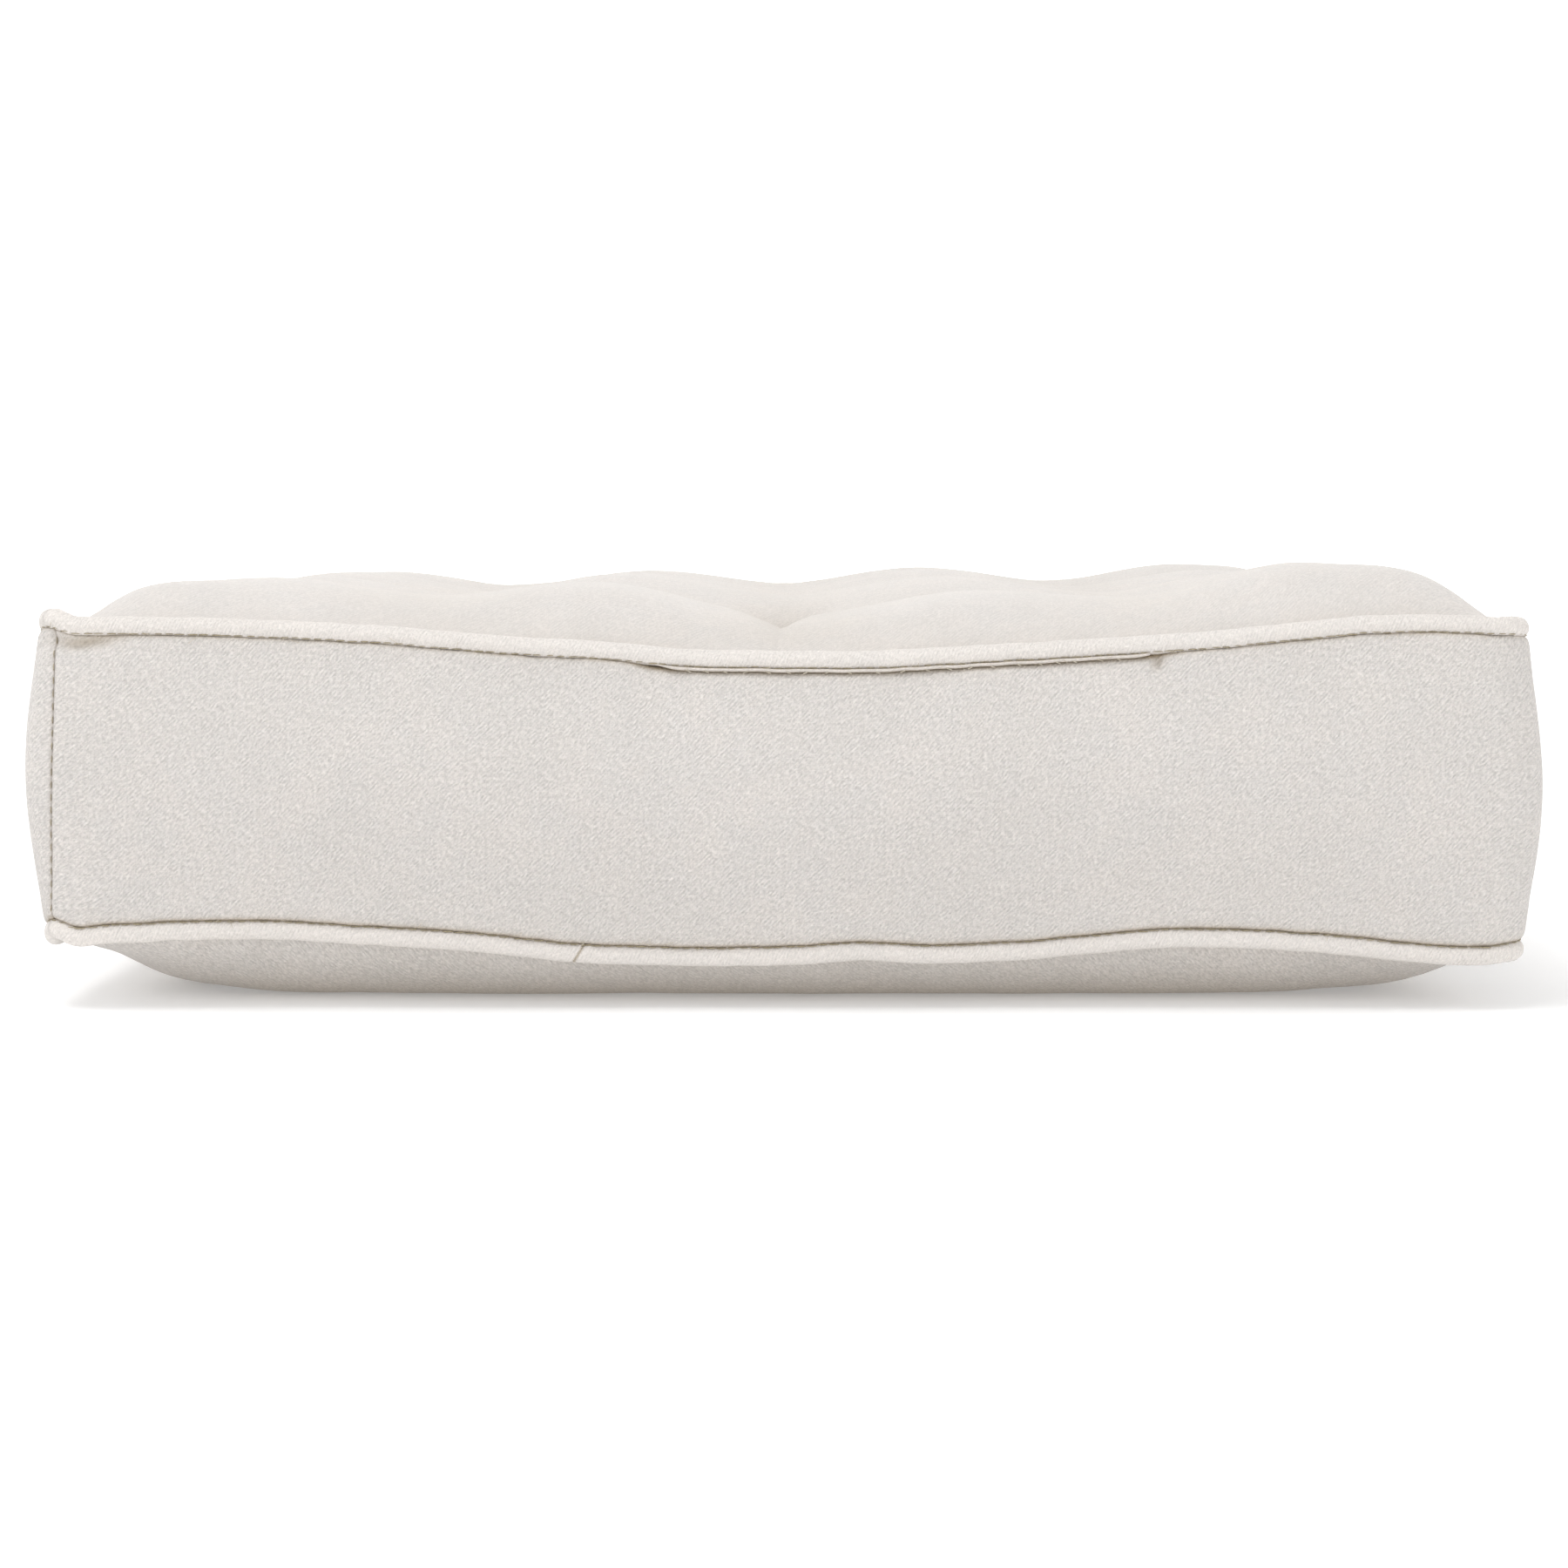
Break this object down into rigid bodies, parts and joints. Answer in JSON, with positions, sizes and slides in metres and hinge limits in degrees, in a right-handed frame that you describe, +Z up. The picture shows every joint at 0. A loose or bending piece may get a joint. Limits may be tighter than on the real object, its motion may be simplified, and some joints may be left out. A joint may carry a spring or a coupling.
{
  "type": "chair seat pad",
  "caption": "Square box-edge seat cushion in natural twill, with corded piping round both edges and tied tufting drawn through a soft fibre filling.",
  "frame": {"origin": "centre of the flat underside, on the plane the pad rests on", "axes": "+Z up through the thickness; +X and +Y along the sides; the side with the hand-closed opening faces -Y"},
  "size_m": [0.415, 0.415, 0.1175],
  "materials": {
    "cover_cloth": "matte",
    "piping_cloth": "matte",
    "filling": "matte",
    "cord_cotton": "matte",
    "tufting_twine": "matte",
    "sewing_thread": "satin"
  },
  "bodies": {
    "root": {"fibre_fill": "filling", "top_panel": "cover_cloth", "bottom_panel": "cover_cloth", "boxing_front_right": "cover_cloth", "boxing_back_left": "cover_cloth", "top_welt_cover": "piping_cloth", "bottom_welt_cover": "piping_cloth", "top_welt_cord": "cord_cotton", "bottom_welt_cord": "cord_cotton", "top_seam_thread": "sewing_thread", "bottom_seam_thread": "sewing_thread", "corner_thread_front_left": "sewing_thread", "corner_thread_back_right": "sewing_thread", "welt_join_thread_bottom": "sewing_thread", "welt_join_thread_top": "sewing_thread", "closing_stitch": "sewing_thread", "tuft_tie_1": "tufting_twine", "tuft_tie_2": "tufting_twine", "tuft_tie_3": "tufting_twine", "tuft_tie_4": "tufting_twine", "tuft_tie_5": "tufting_twine", "tuft_tie_6": "tufting_twine", "tuft_tie_7": "tufting_twine", "tuft_tie_8": "tufting_twine", "tuft_tie_9": "tufting_twine"}
  },
  "joints": []
}
